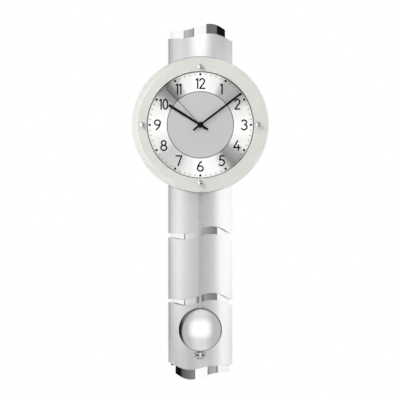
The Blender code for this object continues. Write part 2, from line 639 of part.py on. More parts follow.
def build_battery():
    """The cell lying across the top of the movement and its two contacts."""
    body = [(-0.0246, 0.0), (-0.0246, 0.0066), (-0.0241, BATTERY_RADIUS), (0.0236, BATTERY_RADIUS),
            (0.0241, 0.0066), (0.0241, 0.0027), (0.0257, 0.0024), (0.0257, 0.0)]
    mesh = turned([(radius, along) for along, radius in body], 28)
    for vertex in mesh.vertices:
        x, y, z = vertex.co
        vertex.co = (y, BATTERY_Y + x, BATTERY_Z + z)
    mesh.flip_normals()
    place("battery", mesh, "cell", (0.0, BATTERY_Y, BATTERY_Z))
    for name, left, right in (("left", -0.0265, -0.0250), ("right", 0.0260, 0.0265)):
        place(f"contact_{name}", block(left, right, BATTERY_Z - 0.0045, BATTERY_Z + 0.0045, (-0.0590, -0.0680)),
              "zinc")


def build_pendulum():
    """Hanger with its magnet, rod, bob and rating nut."""
    pivot = (0.0, HANGER_PLATE_Y[0], PIVOT_Z)
    outline = [(-0.0050, -0.0090), (0.0050, -0.0090), (0.0050, -0.0190), (0.0035, -0.0230), (0.0035, -0.0420),
               (-0.0035, -0.0420), (-0.0035, -0.0275), (-0.0180, -0.0265), (-0.0190, -0.0250), (-0.0190, -0.0190),
               (-0.0180, -0.0175), (-0.0050, -0.0165)]
    plate = prism(outline, HANGER_PLATE_Y, [circle(0.0015, 16, (0.0, PIVOT_Z))])
    peg = rod(0.0015, (HANGER_PLATE_Y[1] + 0.0006, -0.0484), (0.0, PEG_Z), 16)
    place("pendulum_hanger", carve(plate, joined=[peg]), "white", pivot)
    place("pendulum_magnet", rod(0.0040, (HANGER_PLATE_Y[0] + 0.0003, -0.0502), MAGNET_AT, 24), "magnet", pivot)
    head = 0.0045
    start = -math.asin(ROD_HALF_X / head)
    eye = [(head * math.sin(angle), PEG_Z - head * math.cos(angle))
           for angle in spread(-start, 2 * math.pi + start, 20)]
    strip = prism([*eye, (-ROD_HALF_X, ROD_END_Z), (ROD_HALF_X, ROD_END_Z)], ROD_Y, [circle(0.0018, 16, (0.0, PEG_Z))])
    stem = rod(STEM_RADIUS, (ROD_END_Z + 0.006, STEM_END_Z), (0.0, ROD_MID_Y), 16, upright=True)
    place("pendulum_rod", carve(strip, joined=[stem]), "steel", pivot)
    build_bob()


def build_bob():
    """Domed bob, its rear plate and the nut under it."""
    centre = (0.0, BOB_Z)
    shoulder = BOB_RADIUS - 0.0015
    rise = BOB_RIM_Y[1] - BOB_APEX_Y
    outside = []
    inside = []
    for radius in spread(0.0, shoulder, 8):
        lift = rise * (1 - (radius / BOB_RADIUS) ** 2)
        outside.append((radius, BOB_RIM_Y[1] - lift))
        inside.append((min(radius, shoulder - 0.0004), BOB_RIM_Y[1] - lift + BOB_WALL))
    profile = [*outside, (BOB_RADIUS, BOB_RIM_Y[1] + 0.0004), (BOB_RADIUS, BOB_RIM_Y[0]),
               (shoulder - 0.0004, BOB_RIM_Y[0]), *reversed(inside)]
    notches = [block(-0.0029, 0.0029, BOB_Z + 0.030, BOB_Z + 0.045, (-0.0470, -0.0511)),
               block(-0.0016, 0.0016, BOB_Z - 0.045, BOB_Z - 0.030, (-0.0470, -0.0516))]
    place("bob_front", carve(turned(profile, 72, centre), removed=notches), "chrome", (0.0, ROD_MID_Y, BOB_Z))
    place("bob_back", prism(circle(BOB_RADIUS - 0.0004, 48, centre), BOB_BACK_Y), "steel", (0.0, ROD_MID_Y, BOB_Z))
    knurl = gear_outline(40, NUT_RADIUS / 20, (0.0, 0.8, 0.30, 0.16), (0.0, ROD_MID_Y), 0.0)
    grip = prism(knurl, (NUT_Z[0] - 0.0008, NUT_Z[1] + 0.0008), upright=True)
    boss_radius, boss_top = NUT_BOSS
    ends = turned([(0, boss_top), (boss_radius, boss_top), (boss_radius, NUT_Z[0]), (NUT_RADIUS - 0.0010, NUT_Z[0]),
                   (NUT_RADIUS - 0.0010, NUT_Z[1]), (0, NUT_Z[1])], 32, (0.0, ROD_MID_Y), upright=True)
    bore = rod(NUT_BORE, (boss_top + 0.001, NUT_Z[1] - 0.001), (0.0, ROD_MID_Y), 16, upright=True)
    place("rating_nut", carve(grip, [ends], [bore]), "chrome", (0.0, ROD_MID_Y, NUT_Z[0]))


def main():
    for leftover in list(bpy.data.objects):
        bpy.data.objects.remove(leftover)
    build_back()
    build_dial()
    build_case()
    build_motor()
    build_train()
    build_hands()
    build_battery()
    build_pendulum()


main()
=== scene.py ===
"""Looks of the pendulum wall clock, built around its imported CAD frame.

Lengths are metres. The front faces -Y and +Z is up. The dial is drawn about the arbor of the hands,
whose place comes from the CAD dial plate.
"""
import json
import math

import bmesh
import bpy
from mathutils import Euler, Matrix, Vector
from mathutils.geometry import tessellate_polygon


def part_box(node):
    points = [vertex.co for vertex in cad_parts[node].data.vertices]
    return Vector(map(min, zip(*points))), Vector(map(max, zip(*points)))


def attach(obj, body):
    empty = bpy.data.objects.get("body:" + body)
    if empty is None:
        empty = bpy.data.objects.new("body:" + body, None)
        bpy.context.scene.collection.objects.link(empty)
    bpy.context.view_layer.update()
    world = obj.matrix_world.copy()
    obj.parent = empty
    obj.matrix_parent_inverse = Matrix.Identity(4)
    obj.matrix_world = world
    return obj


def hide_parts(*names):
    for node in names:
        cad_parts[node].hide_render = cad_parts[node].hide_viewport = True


# Bent sheets: depth of the axis they are bent about, half sizes of the service window, radii of the faces
BEND_Y = 0.074
WINDOW_HALF_X = 0.038
WINDOW_HALF_Z = 0.045
PANEL_RADII = (0.1100, 0.1085)
MIRROR_RADII = (0.1035, 0.1025)
PANEL_HALF_X = 0.060
MIRROR_HALF_X = 0.055
SIDE_STEPS = 16
WINDOW_STEPS = 60
# Height from the arbor about which the top and bottom edges are alike, and the rate of their waves
MIDDLE_Z = -0.1411
WAVE_RATE = 3.785

# Steps round a turned or round piece
RING_STEPS = 144
MASK_STEPS = 160
GLASS_STEPS = 192

# Dial: pairs are inner and outer radii
RING_EDGES = (0.0612, 0.0995)
RING_LINE = (0.0966, 0.0980)
CENTRE_LINE = (0.0605, 0.0616)
MIDDLE_RADIUS = 0.0608
MIDDLE_HOLE = 0.0038
MASK_INNER = 0.0981
MASK_OUTER = 0.1235
# Numerals: height, sideways scale, half width of a stroke, distances sideways and upward from the arbor
NUMERAL_HEIGHT = 0.0177
NUMERAL_SPREAD = 0.0198
NUMERAL_STROKE = 0.00134
NUMERAL_CIRCLE = (0.0785, 0.0758)
DOT_CIRCLE = 0.0927
DOT_RADIUS = 0.0022
TICK_INNER = 0.0914
TICK_OUTER = 0.0940
TICK_HALF = 0.00062
PRINT_THICK = 0.00012
PRINT_LIFT = 0.00002

# Glass and studs
GLASS_ARRIS = 0.0006
GLASS_BEVEL_WIDTH = 0.0110
GLASS_BEVEL_DEPTH = 0.0027
GLASS_ROUNDING = 0.00025
STUD_NECK = 0.0017
STUD_COLLAR = 0.0007
STUD_EDGE = 0.0002
STUD_GAP = 0.0001

# Hands: degrees past 12, body, length, tail, half width at the tip and at the root, hub radius
HANDS = {
    "hour": (302.2, "hour_pipe", 0.0680, 0.0163, 0.0026, 0.0020, 0.0056),
    "minute": (52.5, "minute_pipe", 0.0948, 0.0164, 0.0019, 0.0017, 0.0048),
    "second": (317.0, "second_arbor", 0.0904, 0.0120, 0.00042, 0.00042, 0.0030),
}
HAND_BORES = {"hour": 0.0025, "minute": 0.0017}
SECOND_HAND_DEPTH = (-0.0798, -0.0804)
SECOND_CAP = ((0, -0.0812), (0.0018, -0.0812), (0.0025, -0.0808), (0.0025, -0.0802), (0, -0.0802))

# Pendulum: the chamfer of the bob is width and depth
BOB_RADIUS = 0.040
BOB_RIM_BACK = -0.0488
BOB_RIM_FRONT = -0.0518
BOB_APEX = -0.0580
BOB_CHAMFER = (0.0012, 0.0003)
BOB_SHELL = 0.0010
BOB_RIM_SHELL = 0.0016
BOB_RIM_STEP = 0.0008
REAR_DISC_ARRIS = 0.0003
ROD_MID_Y = -0.0500
NUT_STEPS = 160
NUT_BORE = 0.0016
NUT_BOSS = 0.0042
KNURL_DEPTH = 0.00035

# Camera and studio: angles in degrees, brightness against a white of 1
CAMERA_DISTANCE = 3.0
CAMERA_BELOW_ARBOR = 0.1380
CAMERA_LEFT = 0.0006
CAMERA_LENS = 147.6
TENT_RADIUS = 1.2
TENT_TOP = 1.4
TENT_STRENGTH = 1.08
DOME_RADIUS = 1.1
DOME_TILT = 4.6
DOME_REACH = 165.0
DOME_STEPS = 120
DIAL_LEVEL = 269
FACET_STRENGTH = 3.4
BACKING_RADIUS = 2.2
WORLD_STRENGTH = 0.85


# ---------------------------------------------------------------- outlines and meshes

def circle(radius, steps, centre=(0.0, 0.0)):
    """Points of a circle."""
    points = []
    for step in range(steps):
        angle = 2 * math.pi * step / steps
        points.append((centre[0] + radius * math.cos(angle), centre[1] + radius * math.sin(angle)))
    return points


def spread(start, end, count):
    """Evenly spaced values with both ends."""
    return [start + (end - start) * index / count for index in range(count + 1)]


def finished(bm, sharp_degrees=32):
    """Close the bmesh into a smooth-shaded mesh with its faces outward and its corners kept sharp."""
    bmesh.ops.recalc_face_normals(bm, faces=bm.faces)
    mesh = bpy.data.meshes.new("piece")
    bm.to_mesh(mesh)
    bm.free()
    mesh.polygons.foreach_set("use_smooth", [True] * len(mesh.polygons))
    mesh.set_sharp_from_angle(angle=math.radians(sharp_degrees))
    return mesh


def extrude_into(bm, outer, depth, holes=()):
    """Add a closed plate to the bmesh: an outline in X and Z, with holes, between two depths along Y."""
    loops = [outer, *holes]
    layers = []
    for level in depth:
        layers.append([[bm.verts.new((u, level, v)) for u, v in loop] for loop in loops])
    triangles = ()
    if holes:
        triangles = tessellate_polygon([[Vector((u, v, 0.0)) for u, v in loop] for loop in loops])
    for layer in layers:
        flat = [vert for loop in layer for vert in loop]
        for triangle in triangles:
            bm.faces.new([flat[index] for index in triangle])
        if not holes:
            bm.faces.new(flat)
    for near, far in zip(*layers):
        for index in range(len(near)):
            after = (index + 1) % len(near)
            bm.faces.new((near[index], near[after], far[after], far[index]))


def plate(outer, depth, holes=()):
    """A plate as a mesh of its own."""
    bm = bmesh.new()
    extrude_into(bm, outer, depth, holes)
    return finished(bm)


def turned(profile, steps, sharp_degrees=32):
    """Turn a profile of (radius, depth) about Y. Radius 0 is a pole."""
    bm = bmesh.new()
    rings = []
    for radius, depth in profile:
        ring = []
        for step in range(1 if radius == 0 else steps):
            angle = 2 * math.pi * step / steps
            ring.append(bm.verts.new((radius * math.cos(angle), depth, radius * math.sin(angle))))
        rings.append(ring)
    pairs = list(zip(rings, rings[1:]))
    if profile[0][0] != 0:
        pairs.append((rings[-1], rings[0]))
    for first, second in pairs:
        for step in range(steps):
            after = (step + 1) % steps
            if len(first) == 1:
                bm.faces.new((first[0], second[step], second[after]))
            elif len(second) == 1:
                bm.faces.new((first[step], second[0], first[after]))
            else:
                bm.faces.new((first[step], second[step], second[after], first[after]))
    return finished(bm, sharp_degrees)


def rounded(profile, radius):
    """Round the corners of an open profile with small arcs."""
    points = [profile[0]]
    count = 4
    for before, corner, after in zip(profile, profile[1:], profile[2:]):
        corner_v = Vector(corner)
        back = Vector(before) - corner_v
        ahead = Vector(after) - corner_v
        reach = min(radius, back.length * 0.45, ahead.length * 0.45)
        start = corner_v + back.normalized() * reach
        end = corner_v + ahead.normalized() * reach
        for step in range(count + 1):
            t = step / count
            point = start * (1 - t) ** 2 + corner_v * 2 * t * (1 - t) + end * t ** 2
            points.append((max(point[0], 0.0), point[1]))
    points.append(profile[-1])
    return points


def bent_sheet(half_width, top, bottom, radii, window=False):
    """A sheet bent about an upright axis, between two cross edges given as functions of x."""
    bm = bmesh.new()
    side = spread(-half_width, -WINDOW_HALF_X, SIDE_STEPS)[:-1]
    xs = side + spread(-WINDOW_HALF_X, WINDOW_HALF_X, WINDOW_STEPS) + [-x for x in reversed(side)]
    columns = []
    for x in xs:
        heights = [top(x), bottom(x)]
        if window and abs(x) <= WINDOW_HALF_X + 1e-9:
            heights[1:1] = [WINDOW_HALF_Z, -WINDOW_HALF_Z]
        layers = []
        for radius in radii:
            y = BEND_Y - math.sqrt(radius ** 2 - x ** 2)
            layers.append([bm.verts.new((x, y, z)) for z in heights])
        columns.append(layers)

    def bridge(left, right, level):
        bm.faces.new((left[0][level], right[0][level], right[1][level], left[1][level]))

    def jamb(column, high, low):
        bm.faces.new((column[0][high], column[0][low], column[1][low], column[1][high]))

    for left, right in zip(columns, columns[1:]):
        beside_window = len(left[0]) == 4 and len(right[0]) == 4
        for near, far in zip(left, right):
            if beside_window:
                bm.faces.new((near[0], near[1], far[1], far[0]))
                bm.faces.new((near[2], near[3], far[3], far[2]))
            else:
                bm.faces.new((*near, *reversed(far)))
        for level in (0, -1, 1, 2) if beside_window else (0, -1):
            bridge(left, right, level)
    for column in (columns[0], columns[-1]):
        jamb(column, 0, -1)
    framed = [column for column in columns if len(column[0]) == 4]
    for column in (framed[0], framed[-1]) if framed else ():
        jamb(column, 1, 2)
    return finished(bm)


def wave(x, height, bow, swing, tilt=0.0):
    """A shallow arch with an S-curve on it, tilted up towards +X."""
    u = x / PANEL_HALF_X
    return height - bow * u * u + swing * math.sin(WAVE_RATE * u) + tilt * u


def mirror_top(x):
    """Upper edge of the polished sheet."""
    return wave(x, 0.1875, 0.0140, 0.0054)


def mirror_bottom(x):
    """Its lower edge: the upper one turned half round about the middle."""
    return 2 * MIDDLE_Z - mirror_top(-x)


def upper_top(x):
    """Upper edge of the upper panel."""
    return wave(x, 0.1692, 0.0080, 0.0039)


# Top and bottom edge of each panel
PANELS = {
    "upper_panel": (upper_top, lambda x: wave(x, -0.1921, 0.0090, 0.0056, 0.0025)),
    "middle_panel": (lambda x: wave(x, -0.2057, 0.0048, 0.0050),
                     lambda x: wave(x, -0.3158, 0.0088, 0.0054, 0.0021)),
    "lower_panel": (lambda x: wave(x, -0.3288, 0.0030, 0.0052),
                    lambda x: 2 * MIDDLE_Z - upper_top(-x)),
}


# ---------------------------------------------------------------- materials

class Look:
    """A node material around one Principled BSDF."""

    def __init__(self, name, **constants):
        self.material = bpy.data.materials.new(name)
        self.material.use_nodes = True
        self.nodes = self.material.node_tree.nodes
        self.links = self.material.node_tree.links
        self.shader = self.nodes["Principled BSDF"]
        self.space = self.nodes.new("ShaderNodeTexCoord").outputs["Object"]
        for socket, value in constants.items():
            self.shader.inputs[socket.replace("_", " ")].default_value = value

    def mapped(self, scale):
        """Object coordinates stretched by a scale along each axis."""
        mapping = self.nodes.new("ShaderNodeMapping")
        mapping.inputs["Scale"].default_value = scale
        self.links.new(self.space, mapping.inputs["Vector"])
        return mapping.outputs["Vector"]

    def noise(self, scale, detail=3.0):
        """Noise whose grain has its own scale along each axis, in cells per metre."""
        texture = self.nodes.new("ShaderNodeTexNoise")
        texture.inputs["Scale"].default_value = 1.0
        texture.inputs["Detail"].default_value = detail
        texture.inputs["Roughness"].default_value = 0.55
        self.links.new(self.mapped(scale), texture.inputs["Vector"])
        return texture.outputs["Fac"]

    def maths(self, operation, *values):
        """A maths node on sockets and numbers."""
        node = self.nodes.new("ShaderNodeMath")
        node.operation = operation
        for socket, value in zip(node.inputs, values):
            if isinstance(value, (int, float)):
                socket.default_value = value
            else:
                self.links.new(value, socket)
        return node.outputs[0]

    def ramp(self, factor, stops, interpolation="LINEAR"):
        """A colour ramp; stops are (position, linear grey or colour)."""
        node = self.nodes.new("ShaderNodeValToRGB")
        node.color_ramp.interpolation = interpolation
        elements = node.color_ramp.elements
        while len(elements) < len(stops):
            elements.new(0.5)
        for element, (position, colour) in zip(elements, stops):
            element.position = position
            parts = colour if hasattr(colour, "__len__") else (colour, colour, colour)
            element.color = (*parts, 1.0)
        self.links.new(factor, node.inputs["Fac"])
        return node.outputs["Color"]

    def ranged(self, factor, low, high):
        """A factor spread between two values."""
        node = self.nodes.new("ShaderNodeMapRange")
        node.inputs["From Min"].default_value = 0.3
        node.inputs["From Max"].default_value = 0.7
        node.inputs["To Min"].default_value = low
        node.inputs["To Max"].default_value = high
        self.links.new(factor, node.inputs["Value"])
        return node.outputs["Result"]

    def multiply(self, first, second):
        """The product of two colours."""
        node = self.nodes.new("ShaderNodeMix")
        node.data_type = "RGBA"
        node.blend_type = "MULTIPLY"
        node.inputs["Factor"].default_value = 1.0
        self.links.new(first, node.inputs["A"])
        self.links.new(second, node.inputs["B"])
        return node.outputs["Result"]

    def put(self, socket, output):
        """Drive one socket of the shader."""
        self.links.new(output, self.shader.inputs[socket])

    def bump(self, height, strength, distance):
        """Raise the surface a little by a height."""
        node = self.nodes.new("ShaderNodeBump")
        node.inputs["Strength"].default_value = strength
        node.inputs["Distance"].default_value = distance
        self.links.new(height, node.inputs["Height"])
        self.put("Normal", node.outputs["Normal"])


def grained(name, dark, light, roughness, grain, strength=0.15, distance=0.0001, **constants):
    """A surface whose colour, roughness and height follow one grain, in cells per metre along each axis."""
    look = Look(name, **constants)
    fine = look.noise(grain)
    broad = look.noise([scale / 9 for scale in grain], detail=2.0)
    blend = look.maths("MULTIPLY_ADD", broad, 0.45, look.maths("MULTIPLY", fine, 0.55))
    look.put("Base Color", look.ramp(blend, [(0.35, dark), (0.65, light)]))
    look.put("Roughness", look.ranged(fine, *roughness))
    look.bump(fine, strength, distance)
    return look


def srgb(value):
    """Linear value of an 8-bit grey."""
    share = value / 255
    return share / 12.92 if share <= 0.04045 else ((share + 0.055) / 1.055) ** 2.4


def grey(level):
    """Linear colour of an 8-bit grey with a touch of blue."""
    return (srgb(level), srgb(level), srgb(level + 1))


# Painted sheen of the brushed chapter ring: light and dark fans painted into its colour in place of its
# reflections, clockwise from 12: degrees, 8-bit grey
CHAPTER_PAINTED_SHEEN = ((0, 250), (20, 237), (33, 176), (52, 168), (60, 192), (70, 232), (92, 250), (114, 236),
                (130, 162), (140, 142), (150, 212), (160, 242), (182, 252), (197, 232), (211, 204),
                (228, 200), (246, 230), (268, 250), (290, 238), (300, 205), (310, 152), (320, 122),
                (330, 188), (340, 238), (360, 250))


def chapter_look():
    """Aluminium brushed in circles, with a painted sheen: bright fans at the quarters and darker ones
    between are painted into its colour, over fine rings.
    """
    look = Look("brushed_chapter_painted_sheen", Metallic=1.0)
    parts = look.nodes.new("ShaderNodeSeparateXYZ")
    look.links.new(look.space, parts.inputs[0])
    angle = look.maths("ARCTAN2", parts.outputs["X"], parts.outputs["Z"])
    turn = look.maths("FRACT", look.maths("ADD", look.maths("DIVIDE", angle, 2 * math.pi), 1.0))
    # Painted sheen: the brightness of the fans by angle round the arbor, painted into the base colour in
    # place of reflections
    colour = look.ramp(turn, [(degrees / 360, srgb(level)) for degrees, level in CHAPTER_PAINTED_SHEEN], "EASE")
    squares = [look.maths("MULTIPLY", parts.outputs[axis], parts.outputs[axis]) for axis in "XZ"]
    radius = look.maths("SQRT", look.maths("ADD", *squares))
    rings = look.nodes.new("ShaderNodeTexNoise")
    rings.noise_dimensions = "1D"
    rings.inputs["Scale"].default_value = 900.0
    rings.inputs["Detail"].default_value = 2.0
    look.links.new(radius, rings.inputs["W"])
    streak = look.ramp(rings.outputs["Fac"], [(0.3, 0.87), (0.7, 1.0)])
    look.put("Base Color", look.multiply(colour, streak))
    look.put("Roughness", look.ranged(rings.outputs["Fac"], 0.30, 0.42))
    look.bump(rings.outputs["Fac"], 0.08, 0.00005)
    return look


def glass_look():
    """Clear glass that lets the light through to the dial."""
    look = Look("clear_glass", Transmission_Weight=1.0, IOR=1.46, Roughness=0.0,
                Base_Color=(0.995, 1.0, 0.99, 1.0))
    clear = look.nodes.new("ShaderNodeBsdfTransparent")
    path = look.nodes.new("ShaderNodeLightPath")
    mix = look.nodes.new("ShaderNodeMixShader")
    look.links.new(path.outputs["Is Shadow Ray"], mix.inputs["Fac"])
    look.links.new(look.shader.outputs[0], mix.inputs[1])
    look.links.new(clear.outputs[0], mix.inputs[2])
    look.links.new(mix.outputs[0], look.nodes["Material Output"].inputs["Surface"])
    return look


def make_looks():
    """Every material by name: dark and light colour, roughness range, grain, bump."""
    fine = (900, 900, 900)
    looks = {
        "board": grained("black_board", (0.010, 0.010, 0.011), (0.022, 0.022, 0.024), (0.45, 0.62), fine,
                         0.25),
        "zinc": grained("zinc_plate", grey(150), grey(195), (0.28, 0.5), (500, 500, 500), Metallic=1.0),
        "timber": grained("plywood", (0.36, 0.24, 0.13), (0.56, 0.42, 0.26), (0.6, 0.8), (40, 500, 900),
                          0.3, 0.0002),
        "mirror": grained("polished_sheet", grey(238), grey(244), (0.015, 0.03), (60, 60, 60), 0.0, 0.0,
                          Metallic=1.0),
        "foam": grained("mounting_pad", (0.03, 0.03, 0.032), (0.06, 0.06, 0.064), (0.8, 0.95), fine, 0.6),
        "aluminium": grained("brushed_panel", grey(246), grey(250), (0.25, 0.27), (2600, 2600, 20),
                             0.012, 0.00002, Metallic=0.95),
        "steel": grained("plain_steel", grey(165), grey(200), (0.2, 0.34), (900, 900, 60), Metallic=1.0),
        "carrier": grained("satin_carrier", grey(150), grey(165), (0.4, 0.55), (1200, 1200, 1200),
                           Metallic=0.4),
        "matt": grained("matt_silver", (0.432, 0.425, 0.425), (0.458, 0.45, 0.45), (0.5, 0.6),
                        (2400, 2400, 2400), 0.06, 0.00004, Metallic=0.25),
        "satin": grained("satin_mask", (0.495, 0.50, 0.475), (0.52, 0.525, 0.50), (0.45, 0.55),
                         (700, 700, 700), 0.04),
        "chrome": grained("polished_chrome", grey(236), grey(242), (0.03, 0.06), (90, 90, 90), 0.0, 0.0,
                          Metallic=1.0),
        "bob": grained("satin_chrome", grey(243), grey(248), (0.05, 0.07), (200, 200, 200), 0.0, 0.0,
                       Metallic=1.0),
        "rod": grained("satin_rod", grey(224), grey(232), (0.26, 0.34), (400, 400, 40), Metallic=0.9),
        "black": grained("black_lacquer", (0.004, 0.004, 0.004), (0.008, 0.008, 0.008), (0.3, 0.42),
                         (700, 700, 700), 0.05, Specular_IOR_Level=0.08),
        "print": grained("black_ink", (0.003, 0.003, 0.003), (0.007, 0.007, 0.007), (0.5, 0.65),
                         (1500, 1500, 1500), Specular_IOR_Level=0.06),
        "tick": grained("grey_ink", grey(60), grey(80), (0.5, 0.65), (1500, 1500, 1500)),
        "case": grained("black_plastic", (0.014, 0.014, 0.015), (0.022, 0.022, 0.023), (0.4, 0.55),
                        (1800, 1800, 1800), 0.3),
        "white": grained("natural_plastic", (0.66, 0.65, 0.60), (0.74, 0.73, 0.68), (0.35, 0.5), fine, 0.1),
        "board_green": grained("solder_mask", (0.01, 0.13, 0.05), (0.015, 0.18, 0.07), (0.3, 0.4),
                               (600, 600, 600)),
        "copper": grained("copper_winding", (0.42, 0.15, 0.06), (0.70, 0.30, 0.13), (0.25, 0.4),
                          (300, 300, 5000), 0.6, 0.0001, Metallic=1.0),
        "brass": grained("turned_brass", (0.60, 0.40, 0.14), (0.78, 0.57, 0.24), (0.2, 0.34),
                         (900, 2600, 900), Metallic=1.0),
        "magnet": grained("ground_ferrite", grey(80), grey(105), (0.35, 0.5), fine, Metallic=0.7),
        "cell": grained("cell_wrap", (0.02, 0.05, 0.16), (0.03, 0.07, 0.20), (0.22, 0.32), (300, 300, 300),
                        Metallic=0.3),
        "chapter": chapter_look(),
        "glass": glass_look(),
    }
    return {name: look.material for name, look in looks.items()}


# ---------------------------------------------------------------- pieces

def piece(name, mesh, material, body="clock", stands_for=(), origin=(0.0, 0.0, 0.0), bevel=0.0):
    """Put a finished mesh in the scene, on a CAD body."""
    mesh.name = name
    mesh.materials.append(LOOKS[material])
    made = bpy.data.objects.new(name, mesh)
    made.location = origin
    bpy.context.scene.collection.objects.link(made)
    if bevel:
        modifier = made.modifiers.new("edges", "BEVEL")
        modifier.width = bevel
        modifier.segments = 2
        modifier.limit_method = "ANGLE"
        modifier.angle_limit = math.radians(40)
        modifier.harden_normals = True
    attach(made, body)
    if stands_for:
        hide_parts(*stands_for)
    return made


def build_sheets():
    """Panels and the mirror-bright sheet behind them."""
    for name, (top, bottom) in PANELS.items():
        mesh = bent_sheet(PANEL_HALF_X, top, bottom, PANEL_RADII, window=name == "upper_panel")
        piece(f"{name}_sheet", mesh, "aluminium", stands_for=[name], origin=HUB, bevel=0.0003)
    mesh = bent_sheet(MIRROR_HALF_X, mirror_top, mirror_bottom, MIRROR_RADII, window=True)
    piece("polished_back_sheet", mesh, "mirror", stands_for=["mirror_sheet"], origin=HUB, bevel=0.0002)


def arc(centre_x, centre_z, radius_x, radius_z, start, end):
    """Points along part of an ellipse, angles in degrees from +X."""
    points = []
    for degrees in spread(start, end, max(6, int(abs(end - start) / 12))):
        angle = math.radians(degrees)
        points.append((centre_x + radius_x * math.cos(angle), centre_z + radius_z * math.sin(angle)))
    return points


def six():
    """Strokes of a 6: an open curve that runs into a loop."""
    stem = [(0.11, 0.50), (-0.03, 0.35), (-0.15, 0.17), (-0.225, -0.02)]
    return [stem + arc(0.0, -0.235, 0.260, 0.265, 145, 505)]


# Strokes of the digits in a box one high, about its middle
DIGITS = {
    "0": [arc(0.0, 0.0, 0.215, 0.50, 90, 450)],
    "1": [[(-0.10, 0.40), (0.03, 0.50), (0.03, -0.50)]],
    "2": [arc(0.0, 0.245, 0.215, 0.255, 165, -28) + [(-0.215, -0.50), (0.23, -0.50)]],
    "3": [arc(-0.02, 0.255, 0.225, 0.245, 150, -80), arc(-0.02, -0.235, 0.265, 0.265, 80, -150)],
    "4": [[(0.06, 0.50), (-0.29, -0.20), (0.30, -0.20)], [(0.13, 0.06), (0.13, -0.50)]],
    "5": [[(0.22, 0.50), (-0.13, 0.50), (-0.18, 0.08)] + arc(-0.03, -0.19, 0.27, 0.31, 118, -140)],
    "6": six(),
    "7": [[(-0.25, 0.50), (0.25, 0.50), (-0.07, -0.50)]],
    "8": [arc(0.0, 0.265, 0.205, 0.235, 90, 450), arc(0.0, -0.235, 0.265, 0.265, 90, 450)],
    "9": [[(-x, -z) for x, z in stroke] for stroke in six()],
}
# Sideways place of every digit of a numeral that isn't centred, in widths of a numeral
DIGIT_SHIFTS = {"3": (0.11,), "4": (-0.04,), "8": (0.05,), "10": (-0.22, 0.20), "11": (-0.15, 0.15),
                "12": (-0.275, 0.165)}


def ink_stroke(bm, points, half_width, depth):
    """A printed line with round ends and joints: flat bars with a disc at every point."""
    for start, end in zip(points, points[1:]):
        along = Vector(end) - Vector(start)
        side = Vector((-along.y, along.x)).normalized() * half_width
        corners = (Vector(start) - side, Vector(end) - side, Vector(end) + side, Vector(start) + side)
        extrude_into(bm, [tuple(corner) for corner in corners], depth)
    for point in points:
        extrude_into(bm, circle(half_width, 14, point), depth)


def build_numerals(depth):
    """The twelve upright numerals, each a printed piece."""
    for hour in range(1, 13):
        text = str(hour)
        angle = math.radians(30 * hour)
        centre = (NUMERAL_CIRCLE[0] * math.sin(angle), NUMERAL_CIRCLE[1] * math.cos(angle))
        bm = bmesh.new()
        shifts = DIGIT_SHIFTS.get(text, (0.0,))
        for digit, shift in zip(text, shifts):
            for stroke in DIGITS[digit]:
                points = [(centre[0] + (x + shift) * NUMERAL_SPREAD, centre[1] + z * NUMERAL_HEIGHT)
                          for x, z in stroke]
                ink_stroke(bm, points, NUMERAL_STROKE, depth)
        piece(f"numeral_{hour}", finished(bm), "print", origin=HUB)


def build_minute_track(depth):
    """Dots at the hours, fine ticks at the minutes and the two circle lines."""
    dots = bmesh.new()
    ticks = bmesh.new()
    corners = ((TICK_INNER, -TICK_HALF), (TICK_OUTER, -TICK_HALF),
               (TICK_OUTER, TICK_HALF), (TICK_INNER, TICK_HALF))
    for minute in range(60):
        angle = math.radians(6 * minute)
        x, z = math.sin(angle), math.cos(angle)
        if minute % 5 == 0:
            extrude_into(dots, circle(DOT_RADIUS, 20, (DOT_CIRCLE * x, DOT_CIRCLE * z)), depth)
        else:
            tick = [(reach * x + side * z, reach * z - side * x) for reach, side in corners]
            extrude_into(ticks, tick, depth)
    piece("hour_dots", finished(dots), "print", origin=HUB)
    piece("minute_ticks", finished(ticks), "tick", origin=HUB)
    for name, (inner, outer) in (("outer_circle_line", RING_LINE), ("inner_circle_line", CENTRE_LINE)):
        line = plate(circle(outer, RING_STEPS), depth, [circle(inner, RING_STEPS)])
        piece(name, line, "print", origin=HUB)


def build_dial():
    """Brushed chapter ring, matt middle, their print and the satin ring behind the rim of the glass."""
    low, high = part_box("dial_ring")
    front, rear = low.y, high.y
    ring = plate(circle(RING_EDGES[1], RING_STEPS), (rear, front), [circle(RING_EDGES[0], RING_STEPS)])
    piece("chapter_ring", ring, "chapter", stands_for=["dial_ring"], origin=HUB)
    middle = plate(circle(MIDDLE_RADIUS, RING_STEPS), (rear, front), [circle(MIDDLE_HOLE, 48)])
    piece("dial_middle", middle, "matt", stands_for=["dial_centre"], origin=HUB)
    print_depth = (front - PRINT_LIFT, front - PRINT_LIFT - PRINT_THICK)
    build_numerals(print_depth)
    build_minute_track(print_depth)
    low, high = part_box("mask_ring")
    mask = plate(circle(MASK_OUTER, MASK_STEPS), (high.y, low.y), [circle(MASK_INNER, MASK_STEPS)])
    piece("satin_ring", mask, "satin", stands_for=["mask_ring"], origin=HUB)


def build_glass():
    """The glass, bevelled round its front, and the four studs that hold it."""
    low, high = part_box("glass_disc")
    radius = high.x
    profile = [(0, high.y), (radius - GLASS_ARRIS, high.y), (radius, high.y - GLASS_ARRIS),
               (radius, low.y + GLASS_BEVEL_DEPTH), (radius - GLASS_BEVEL_WIDTH, low.y), (0, low.y)]
    pane = turned(rounded(profile, GLASS_ROUNDING), GLASS_STEPS, sharp_degrees=12)
    piece("glass_pane", pane, "glass", stands_for=["glass_disc"], origin=HUB)
    for hour in (12, 3, 6, 9):
        build_stud(f"stud_{hour}")


